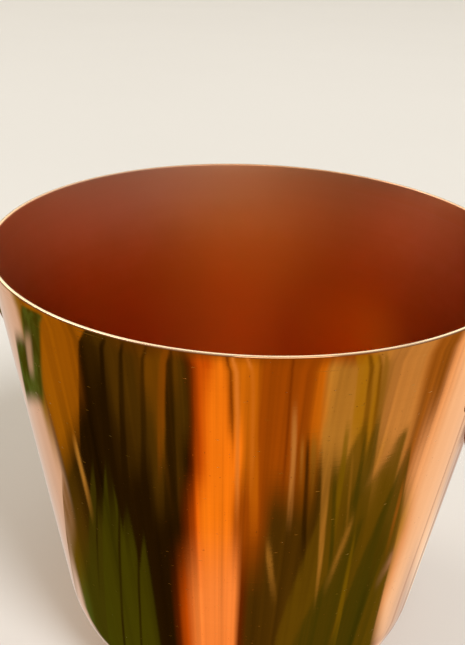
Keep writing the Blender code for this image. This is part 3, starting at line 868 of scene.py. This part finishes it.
def make_shell(brass):
    small = NECK_RADIUS + GAP
    flare = SHELL_RADIUS - small - SHELL_WALL
    lip_start = SHELL_LENGTH - SHELL_LIP
    outer = [(0, small + SHELL_WALL - 0.0002), (0.0002, small + SHELL_WALL)]
    for share in shares(26):
        swell = flare * share**SHELL_FLARE_POWER
        outer.append((SHELL_SLEEVE + (lip_start - SHELL_SLEEVE) * share, small + SHELL_WALL + swell))
    outer += [(SHELL_LENGTH - 0.0002, SHELL_RADIUS), (SHELL_LENGTH, SHELL_RADIUS - 0.0002)]
    inner = [(distance, radius - SHELL_WALL) for distance, radius in outer[2:-2]]
    inner = [(0, small)] + inner + [(SHELL_LENGTH, SHELL_RADIUS - SHELL_WALL)]
    shell = turned("brass_shell", NECK, head(outer + inner[::-1]), [brass], 112)
    settle(shell, "rose", "brass", "rose_shell")


def make_face(brass):
    """A domed, perforated disc, thinned to a flat edge under the ring."""
    edge = SHELL_RADIUS - SHELL_WALL - GAP
    radius, spread = dome(edge, FACE_RISE)
    rim = SHELL_LENGTH - FACE_SHEET
    centre = rim + FACE_RISE - radius
    angles = [spread * share for share in shares(18)]
    over = [(centre + (radius + FACE_SHEET) * cos(a), (radius + FACE_SHEET) * sin(a)) for a in angles]
    under = [(centre + radius * cos(a), radius * sin(a)) for a in angles]
    over[-1] = (SHELL_LENGTH, edge)
    face = turned("brass_face", NECK, head(over + under[::-1]), [brass], 96)
    (x, z), heading = NECK.at(NECK.length - SHELL_SLEEVE + SHELL_LENGTH)
    place = facing(Vector((x, 0, z)), Vector((cos(heading), 0, sin(heading))))
    cut(face, pins(hole_places(place, FACE_STEP, FACE_HOLE_RINGS), FACE_HOLE, 0.4 * SHELL_LENGTH))
    settle(face, "rose", "brass", "rose_face")


def make_ring(brass):
    """A rolled band round the shell's lip that holds the face."""
    bore = SHELL_RADIUS + GAP
    top = SHELL_LENGTH + GAP
    low = SHELL_LENGTH - SHELL_LIP
    reach = SHELL_RADIUS - RING_REACH
    corners = [
        (low, bore, 0.0001), (low, bore + RING_WALL, 0.0004),
        (top + RING_WALL, bore + RING_WALL, 0.0009), (top + RING_WALL, reach, 0.00045),
        (top + RING_WALL / 2, reach, 0.0001), (top, SHELL_RADIUS - RING_REACH / 2, 0),
        (top, bore, 0),
    ]
    ring = turned("brass_ring", NECK, head(rounded(corners, 6)), [brass], 112)
    settle(ring, "rose", "brass", "rose_ring")


# ---- handle


def strap_path():
    stand_off = GAP + STRAP_HALF_THICK
    radius = wall_radius(RIM_LEVEL, -stand_off) - STRAP_UPPER_END * sin(WALL_TILT)
    path = Path((radius, RIM_LEVEL - STRAP_UPPER_END * cos(WALL_TILT)), pi / 2 - WALL_TILT)
    path.go(STRAP_UPPER_END + STRAP_RISE).bend(STRAP_TOP_RADIUS, -pi)
    path.go(STRAP_RISE + STRAP_LOWER_BEND).bend(STRAP_LOWER_RADIUS, -pi / 2)
    path.go(2 * STRAP_TOP_RADIUS - 2 * STRAP_LOWER_RADIUS).bend(STRAP_LOWER_RADIUS, -pi / 2)
    return path.go(STRAP_LOWER_BEND - STRAP_LOWER_END)


def make_strap(copper, cutter):
    """A rolled strap with rounded edges and ends that hugs the wall where it is riveted."""
    path = strap_path()
    rows = round(path.length / STRAP_ROW)
    edge = STRAP_END_EDGE
    tips = [edge * t for t in (0, 0.12, 0.4)]
    between = [path.length * share for share in shares(rows)[1:-1]]
    rings = []
    for distance in tips + between + [path.length - tip for tip in tips[::-1]]:
        from_end = min(distance, path.length - distance)
        corner = max(0, 1 - from_end / STRAP_END_ROUND)
        narrowed = 1 - STRAP_END_NARROWING * (1 - sqrt(1 - corner**2))
        worn = edge * (1 - sqrt(max(0, 1 - max(0, 1 - from_end / edge) ** 2)))
        half = STRAP_HALF_WIDTH * narrowed - worn
        thick = STRAP_HALF_THICK - worn
        hug = min(1, max(0, 1 + (STRAP_UPPER_END - from_end) / STRAP_RISE))
        sides = ((half, -thick), (half, thick), (-half, thick), (-half, -thick))
        section = rounded([(*side, STRAP_EDGE - worn) for side in sides])
        section = divided(section + section[:1], 0.0012)[:-1]
        (x, z), heading = path.at(distance)
        ring = []
        for across, out in section:
            sag = hug * across**2 / (2 * RIM_RADIUS)
            ring.append(Vector((x - out * sin(heading) - sag, across, z + out * cos(heading))))
        rings.append(ring)
    count = max(len(ring) for ring in rings)
    strap = loft("copper_handle", [resampled(ring, count) for ring in rings], [copper], cap=True)
    cut(strap, cutter)
    strap.visible_glossy = False
    settle(strap, "can", "copper_handle", "handle_strap")


def resampled(ring, count):
    """The closed ring with a fixed number of points, spaced evenly round it."""
    closed = ring + ring[:1]
    travelled = [0]
    for first, second in zip(closed, closed[1:]):
        travelled.append(travelled[-1] + (second - first).length)
    made = []
    leg = 0
    for number in range(count):
        wanted = travelled[-1] * number / count
        while travelled[leg + 1] < wanted:
            leg += 1
        share = (wanted - travelled[leg]) / (travelled[leg + 1] - travelled[leg])
        made.append(closed[leg].lerp(closed[leg + 1], share))
    return made


def rivet_frames():
    """Frames on the outer wall where the rivets' axes pass through it, from the CAD rivets."""
    frames = []
    for number in range(1, RIVET_COUNT + 1):
        low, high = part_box(f"handle_rivet_{number}")
        middle = (low + high) / 2
        off_wall = middle.x - wall_radius(middle.z)
        frames.append(wall_frame(middle.z + off_wall * tan(WALL_TILT) * cos(WALL_TILT) ** 2, 1))
    return frames


def make_rivets(copper):
    head_base = 2 * STRAP_HALF_THICK + 2 * GAP
    tail_base = -BODY_WALL - BURR_THICKNESS - 2 * GAP
    turns = [pi / 2 * share for share in shares(10)]
    outline = [
        (head_base + RIVET_HEAD_HEIGHT * cos(turn) ** RIVET_DOME_POWER, RIVET_HEAD_RADIUS * sin(turn))
        for turn in turns[:-1]
    ]
    outline += [(head_base + 0.0001, RIVET_HEAD_RADIUS), (head_base, RIVET_HEAD_RADIUS - 0.0001)]
    outline += [(head_base, RIVET_RADIUS), (tail_base, RIVET_RADIUS)]
    outline += [(tail_base - RIVET_TAIL_HEIGHT * sin(t), RIVET_TAIL_RADIUS * cos(t)) for t in turns]
    low, high = tail_base + GAP, -BODY_WALL - GAP
    bore = RIVET_RADIUS + GAP
    washer = [(low, bore, 0.0001), (low, BURR_RADIUS, 0.0003)]
    washer += [(high, BURR_RADIUS, 0.0001), (high, bore, 0.0001)]
    for number, place in enumerate(rivet_frames(), start=1):
        for kind, points in (("rivet", outline), ("burr", rounded(washer, 4))):
            piece = turned(f"copper_{kind}_{number}", UPRIGHT, points, [copper], 48)
            piece.data.transform(place)
            settle(piece, "can", "copper_rivet", f"handle_{kind}_{number}")


# ---- surroundings

# What the polished wall mirrors, as light colours.
SKY = (0.7, 0.62, 0.55)
CLOUD = (1.02, 0.86, 0.66)
PEACH = (0.88, 0.6, 0.34)
TAN = (0.5, 0.36, 0.08)
SAND = (0.56, 0.38, 0.13)
TAWNY = (0.4, 0.2, 0.004)
STRAW = (0.3, 0.22, 0.03)
OCHRE = (0.42, 0.3, 0.006)
BRASSY = (0.82, 0.42, 0.1)
CLAY = (0.36, 0.17, 0.02)
AMBER = (0.24, 0.11, 0.004)
HONEY = (0.36, 0.12, 0.004)
GOLD = (0.62, 0.26, 0.01)
FLAME = (0.98, 0.38, 0.02)
ORANGE = (0.58, 0.14, 0.004)
RUST = (0.13, 0.03, 0)
SALMON = (1, 0.46, 0.15)
MAUVE = (0.5, 0.36, 0.29)
OLIVE = (0.17, 0.1, 0.004)
UMBER = (0.072, 0.052, 0.004)
BARK = (0.018, 0.012, 0.001)
FERN = (0.13, 0.11, 0.005)
MOSS = (0.055, 0.07, 0.004)
LEAF = (0.08, 0.14, 0.02)
LIME = (0.2, 0.18, 0.004)
BLADE = (0.06, 0.09, 0.003)

# Rings of surroundings below the rim, as {degrees below the horizon: {degrees round the can
# from the camera: colour}}.
RINGS = {
    37: {
        -128: SKY, -122: STRAW, -116: AMBER, -88: AMBER, -84: BARK, -70: UMBER, 50: HONEY,
        57: TAN, 65: SAND, 82: SAND, 88: CLAY, 98: CLAY, 104: PEACH, 112: CLOUD, 130: CLOUD, 142: SKY,
    },
    43: {
        -122: SKY, -116: UMBER, -97: BARK, -74: BARK, -68: UMBER, -56: UMBER, -50: OLIVE,
        -39: OLIVE, -32: UMBER, -28: RUST, -25: ORANGE, -20: ORANGE, -15: FLAME, -13: FLAME, -12: HONEY,
        -10: GOLD, 2: GOLD, 5: HONEY, 28: HONEY, 34: GOLD, 36: TAN, 56: TAN, 63: STRAW, 69: SAND,
        84: SAND, 92: CLAY, 99: PEACH, 112: CLOUD,
    },
    47: {
        -141: SKY, -134: FERN, -110: UMBER, -97: BARK, -74: BARK, -56: UMBER, -50: UMBER,
        -45: OLIVE, -38: UMBER, -31: UMBER, -28: RUST, -25: ORANGE, -18: FLAME, -12: FLAME, -10: HONEY,
        -8: GOLD, 2: GOLD, 5: HONEY, 28: HONEY, 35: GOLD, 39: TAN, 53: TAN, 58: STRAW, 66: STRAW,
        72: TAN, 80: FERN, 96: STRAW, 103: TAN, 109: PEACH, 117: CLOUD, 140: SKY,
    },
    50.5: {
        -140: SKY, -134: LEAF, -122: MOSS, -92: MOSS, -82: BARK, -56: BARK, -51: UMBER,
        -38: UMBER, -32: BARK, -29: RUST, -25: ORANGE, -19: FLAME, -4: FLAME, -1: GOLD, 4: HONEY,
        20: HONEY, 34: AMBER, 41: UMBER, 50: FERN, 99: FERN, 104: STRAW, 110: PEACH, 117: CLOUD,
        140: SKY,
    },
    54.5: {
        -160: SKY, -136: MOSS, -92: MOSS, -80: BARK, -39: BARK, -34: RUST, -29: ORANGE, -24: FLAME,
        -9: FLAME, -5: HONEY, 8: HONEY, 16: UMBER, 46: UMBER, 54: FERN, 68: FERN, 78: MOSS, 104: MOSS,
        113: FERN, 124: MAUVE, 140: CLOUD,
    },
    60.5: {
        -160: SKY, -140: MOSS, -90: MOSS, -74: BARK, -49: BARK, -44: RUST, -38: ORANGE, -31: SALMON,
        -4: SALMON, 0: RUST, 6: UMBER, 48: UMBER, 58: FERN, 68: FERN, 80: MOSS, 106: MOSS, 118: FERN,
        128: MAUVE, 145: CLOUD,
    },
}

# Blades and stalks painted over the rings, in degrees: the tip's place round and below the
# horizon, lean and growth of the half width per degree down, half width at the tip, place
# below the horizon where it ends, colour.
FRONDS = (
    (-91, 45.5, -3.2, 2, 0.5, 75, MOSS),
    (-80, 46.3, -1.6, 2.1, 0.5, 75, BLADE),
    (-72, 50.4, -1.5, 2, 0.4, 75, BLADE),
    (-63, 53.5, -1.9, 2, 0.4, 75, BLADE),
    (-72.5, 48.4, -2.5, 0.05, 1, 75, BARK),
    (-67.5, 53.6, -2, 0.05, 0.9, 75, BARK),
    (-88.5, 46.6, -3.9, 0.05, 1, 51, BARK),
    (-101, 42.3, 0.2, 0, 1.6, 47, TAN),
    (-35.5, 37, -0.95, -0.1, 2.8, 49.5, AMBER),
    (-91.8, 29, -1, -1.2, 26.8, 42.3, TAWNY),
    (-67, 36, -1.25, 0.08, 1, 47, BARK),
    (-46, 47, 0.6, 0.1, 0.7, 52, OLIVE),
    (-69.5, 37, -1, 0.15, 0.8, 50, BARK),
    (-58, 37, -1, 0.15, 0.6, 52, BARK),
    (-46.5, 37, -0.9, 0.12, 0.4, 52, BARK),
    (-35, 37, -0.5, 0.25, 0.3, 54, BARK),
    (50.5, 37, 1, 0.2, 5.6, 46.5, OCHRE),
    (51.5, 37, 1, 0.08, 0.9, 47, OLIVE),
    (56, 37, 1.1, 0.08, 0.6, 47, OLIVE),
    (59.5, 37, 0.9, 0.1, 0.9, 46, STRAW),
    (-120, 42.3, -4, 4.5, 0.5, 46, OLIVE),
    (-12, 37, 0.3, 0, 0.5, 50, RUST),
    (-9.6, 37, 0.3, 0.04, 0.5, 54, BRASSY),
    (-3, 37, 0.4, 0.02, 0.6, 52, BRASSY),
    (-0.5, 43, 0.5, 0.05, 2, 55, GOLD),
    (17, 37, 0.2, 0, 0.5, 52, RUST),
    (60, 44.3, -0.6, 1.2, 0.3, 75, FERN),
    (66, 43.6, 0.2, 0.9, 0.8, 75, MOSS),
    (52, 47.4, -0.6, 0.8, 0.4, 75, FERN),
    (85, 42, -1.2, 1.3, 0.4, 75, FERN),
    (90, 42.6, 0.4, 1.5, 0.5, 75, MOSS),
    (97, 45, 0.6, 1, 0.4, 75, FERN),
    (72, 50, -1.4, 1.2, 0.3, 75, MOSS),
    (39.5, 46.5, 1.15, -0.24, 3.6, 57, TAN),
    (21.5, 46.6, 0.65, 0.05, 1.2, 53.5, SAND),
    (27.5, 48.6, 0.9, 0, 0.9, 50.5, TAN),
    (33.5, 47.8, 0.9, -0.1, 1.7, 50.8, STRAW),
    (30, 48, 1, 0.1, 0.9, 56, BARK),
    (50, 45.8, 0.6, 0.05, 1.5, 52.5, LIME),
    (47.5, 49, 1.6, 0.1, 1, 56, MOSS),
    (56, 47.3, 1.3, 0.05, 0.6, 52, STRAW),
    (61, 45.3, 0.7, 0.1, 1, 51.5, MOSS),
    (65, 51, -1.4, 0.1, 0.8, 55.5, TAN),
    (79, 44.2, -2.6, -0.5, 2.4, 47.5, SAND),
    (93, 45, 0.9, 0, 1.4, 48.6, CLAY),
    (104, 48.6, -2, 0, 1.6, 50.6, MAUVE),
    (69, 51.5, 0.8, 0.3, 0.6, 58, LIME),
    (15, 56.4, 2.4, 0.2, 1.6, 58.4, TAN),
    (146, 28, 0.3, 0.05, 3, 60, MAUVE),
    (130, 28, 0.2, 0.02, 0.8, 60, MAUVE),
)

# The leaf with a paler vein, as patches: (middle, half, soft edge) round the can and below the horizon.
LEAF_TOP = (-114.5, 6, 3.5, 48.6, 2.2, 0.8)
LEAF_FOOT = (-120.5, 11.5, 4, 51.7, 1.5, 1.6)
LEAF_VEIN = (-118, 1, 4, 50.6, 0.6, 1.5)

# The room above, with panes as patches and their light. The last two are one pane, cut at the back.
ROOM_LOW = (0.14, 0.125, 0.11)
ROOM_HIGH = (0.52, 0.485, 0.455)
PANES = (
    ((-126, 15, 3, -53, 10, 3), (5, 4.6, 4.1)),
    ((14, 20, 3, -37, 8, 3), (3.4, 3.3, 3.2)),
    ((180, 60, 3, -27, 7, 3), (1.5, 1.36, 1.05)),
    ((-180, 60, 3, -27, 7, 3), (1.5, 1.36, 1.05)),
)
LIT_BY = (0.6, 0.55, 0.48)
BACKDROP = (0.8, 0.75, 0.68)


def sky_ring(around, stops):
    """A colour that changes with the direction round the can."""
    node = add("ValToRGB", {0: ranged(around, -180, 180)})
    ramp = node.color_ramp
    ramp.elements.remove(ramp.elements[-1])
    for number, (place, colour) in enumerate(stops.items()):
        share = (place + 180) / 360
        stop = ramp.elements.new(share) if number else ramp.elements[0]
        stop.position = share
        stop.color = (*colour, 1)
    return node.outputs[0]


def patch(around, below, place):
    """1 in a soft-edged patch, given as (middle, half, soft edge) round the can and below the horizon."""
    return times(window(around, *place[:3]), window(below, *place[3:]))


def painted_garden(around, below):
    """What the wall mirrors: rings of colour with streaks, fronds and a leaf over them."""
    flat = add("CombineXYZ", {0: around, 1: below}).outputs[0]
    sway = noise(stretched(flat, (0.07, 0.12, 1)), 1, 3)
    bent = linear(minus(sway, 0.5), 3, around)
    (last, stops), *others = RINGS.items()
    garden = sky_ring(bent, stops)
    for level, stops in others:
        garden = mixed(ranged(below, last, level, smooth=True), garden, sky_ring(bent, stops))
        last = level

    # Upright streaks of changing strength, weaker in the pale parts.
    streaks = noise(stretched(flat, (0.22, 0.01, 1)), 1, 3, 0.62, 0.3)
    strength = ranged(noise(stretched(flat, (0.05, 0.07, 1)), 1), 0.35, 0.65, 0.3, 1)
    pale = maths("MAXIMUM", window(around, 180, 68, 10), window(around, -180, 52, 10))
    strength = times(strength, linear(pale, -0.8, 1))
    gain = linear(minus(streaks, 0.5), strength, 0.5)
    gain = ranged(gain, 0.3, 0.7, 0.62, 1.38)
    grey = add("CombineXYZ", {0: gain, 1: gain, 2: gain}).outputs[0]
    garden = mixed(1, garden, grey, "MULTIPLY")

    for tip, top, lean, spread, half, bottom, colour in FRONDS:
        down = minus(below, top)
        away = apart(bent, linear(down, lean, tip))
        beyond = minus(away, linear(down, spread, half))
        shape = times(fading(beyond, -0.9, 0.9), ranged(down, -0.4, 0.8))
        shape = times(shape, ranged(below, bottom - 1.5, bottom + 1.5, 1, 0))
        shape = times(shape, ranged(streaks, 0.35, 0.6, 0.5, 0.88))
        garden = mixed(shape, garden, colour)

    slant = linear(bent, -0.14, below)
    across = linear(minus(slant, 48), 2.2, bent)
    leaf = maths("MAXIMUM", patch(across, slant, LEAF_TOP), patch(across, slant, LEAF_FOOT))
    folds = noise(stretched(flat, (0.16, 0.5, 1)), 1)
    green = mixed(ranged(folds, 0.42, 0.6), MOSS, LEAF)
    green = mixed(times(patch(across, slant, LEAF_VEIN), 0.6), green, SKY)
    return mixed(leaf, garden, green)


def painted_room(around, below):
    """What lights the inside: a dim room with bright panes, darker towards its horizon."""
    room = mixed(ranged(below, -5, -50), ROOM_LOW, ROOM_HIGH)
    for place, light in PANES:
        room = mixed(patch(around, below, place), room, light)
    return room


def make_world():
    """Plain light for what is lit, and a garden below a pale room for what metal mirrors."""
    world = bpy.data.worlds.new("surroundings")
    world.use_nodes = True
    world.cycles.sampling_method = "NONE"
    bpy.context.scene.world = world
    tree = world.node_tree
    tree.nodes.clear()
    ways = add("TexCoord", {}, tree).outputs["Generated"]
    turn = {"Vector": ways, "Angle": -CAMERA_AZIMUTH}
    x, y, z = parts(add("VectorRotate", turn, rotation_type="Z_AXIS").outputs[0])
    around = maths("DEGREES", maths("ARCTAN2", x, times(y, -1)))
    below = maths("DEGREES", maths("ARCSINE", times(z, -1)))
    rising = ranged(below, 24, 8, smooth=True)
    mirrored = mixed(rising, painted_garden(around, below), painted_room(around, below))
    path = add("LightPath", {}, tree).outputs
    direct = maths("LESS_THAN", path["Diffuse Depth"], 0.5)
    light = mixed(times(path["Is Glossy Ray"], direct), LIT_BY, mirrored)
    light = mixed(path["Is Camera Ray"], light, BACKDROP)
    background = add("Background", {"Color": light, "Strength": 1})
    add("OutputWorld", {"Surface": background.outputs[0]})


def make_floor():
    material, shader, coords = new_material("pale_floor")
    tone = mixed(noise(coords, 3, 4), (0.76, 0.735, 0.685), (0.79, 0.765, 0.715))
    feed(shader, {"Base Color": tone, "Roughness": 0.9})
    bm = bmesh.new()
    bmesh.ops.create_circle(bm, cap_ends=True, segments=96, radius=100 * RIM_RADIUS)
    floor = shaped("floor", bm, [material])
    floor.location.z = -0.0001
    floor.visible_glossy = False


def make_lights():
    """Soft discs, given as degrees round from the camera, distance, height, size, power and colour."""
    for name, around, away, height, size, power, colour in (
        ("key", 38, 6, 6.5, 2.8, 500, (0.93, 0.97, 1.03)),
        ("fill", -118, 5.5, 6.5, 3, 125, (1, 0.97, 0.92)),
    ):
        data = bpy.data.lights.new(name, "AREA")
        data.shape = "DISK"
        data.size = size
        data.energy = power
        data.color = colour
        heading = CAMERA_AZIMUTH + radians(around) - pi / 2
        place = Vector((away * cos(heading), away * sin(heading), height))
        lamp = placed(name, data)
        lamp.location = place
        lamp.visible_glossy = False
        lamp.rotation_euler = (-place).to_track_quat("-Z", "Y").to_euler()


# ---- build

UPRIGHT = Path((0, 0), pi / 2).go(1)
SPOUT = spout_path()
MOUTH_PATH = Path((MOUTH.x, MOUTH.z), MOUTH_HEADING).go(FERRULE_LENGTH)
NECK = neck_path()


def spout_bore():
    distances = [SPOUT.length * share for share in shares(40)]
    outline = [(distance, spout_radius(distance) - SPOUT_WALL) for distance in distances]
    return turned("bore", SPOUT, [(0, 0), *outline, (SPOUT.length, 0)], [])


def rivet_pins():
    return pins(rivet_frames(), RIVET_RADIUS + GAP, 8 * STRAP_HALF_THICK, 32)


def main():
    make_camera()
    make_world()
    make_floor()
    make_lights()
    outside = metal(
        "mirror_copper", (0.93, 0.49, 0.24), (0.87, 0.43, 0.19), 0.042,
        (7, 7, 2600), 1.5e-6, 3e-5, (0.32, 0.12, 0.06), anisotropy=0.5,
    )
    # Its third colour is the deeper, redder painted shade lower down inside.
    inside = satin_copper(
        "satin_copper", (0.92, 0.49, 0.31), (0.84, 0.395, 0.2), (0.68, 0.255, 0.035), 0.28,
    )
    # The rim's cut edge: real, rougher worked copper, painted pale cream as a glint.
    edge = metal(
        "cut_copper_painted_glint", (1, 0.86, 0.66), (0.97, 0.72, 0.5), 0.2, (9, 9, 2600), 6e-6, 2e-5, (0.55, 0.3, 0.2)
    )
    spout_copper = metal(
        "spout_copper", (0.93, 0.52, 0.33), (0.82, 0.38, 0.21), 0.12,
        (900, 160, 160), 5e-6, 3e-5, (0.28, 0.11, 0.06),
    )
    handle_copper = metal(
        "handle_copper", (0.92, 0.5, 0.31), (0.8, 0.36, 0.2), 0.17,
        (180, 1500, 180), 6e-6, 5e-5, (0.26, 0.1, 0.05),
    )
    rivet_copper = metal(
        "rivet_copper", (0.93, 0.54, 0.36), (0.78, 0.34, 0.19), 0.2,
        (500, 500, 500), 2e-5, 8e-5, (0.24, 0.1, 0.05),
    )
    brass = metal(
        "turned_brass", (0.92, 0.72, 0.38), (0.8, 0.56, 0.24), 0.15,
        (260, 90, 900), 6e-6, 2e-5, (0.26, 0.16, 0.06),
    )
    solder = metal(
        "braze", (0.88, 0.7, 0.42), (0.7, 0.5, 0.26), 0.3, (400, 400, 400), 3e-5, 8e-5, (0.22, 0.12, 0.06)
    )
    black = rubber("black_rubber", (0.02, 0.02, 0.021))
    make_body(outside, inside, edge, [spout_bore(), rivet_pins()])
    make_pad(black)
    make_spout(spout_copper)
    make_collar(spout_copper)
    make_seams(solder)
    make_strainer(brass)
    make_ferrule(brass)
    make_seal(black)
    make_neck(brass)
    make_shell(brass)
    make_face(brass)
    make_ring(brass)
    make_strap(handle_copper, rivet_pins())
    make_rivets(rivet_copper)
    bpy.context.scene.view_settings.view_transform = "Standard"


main()
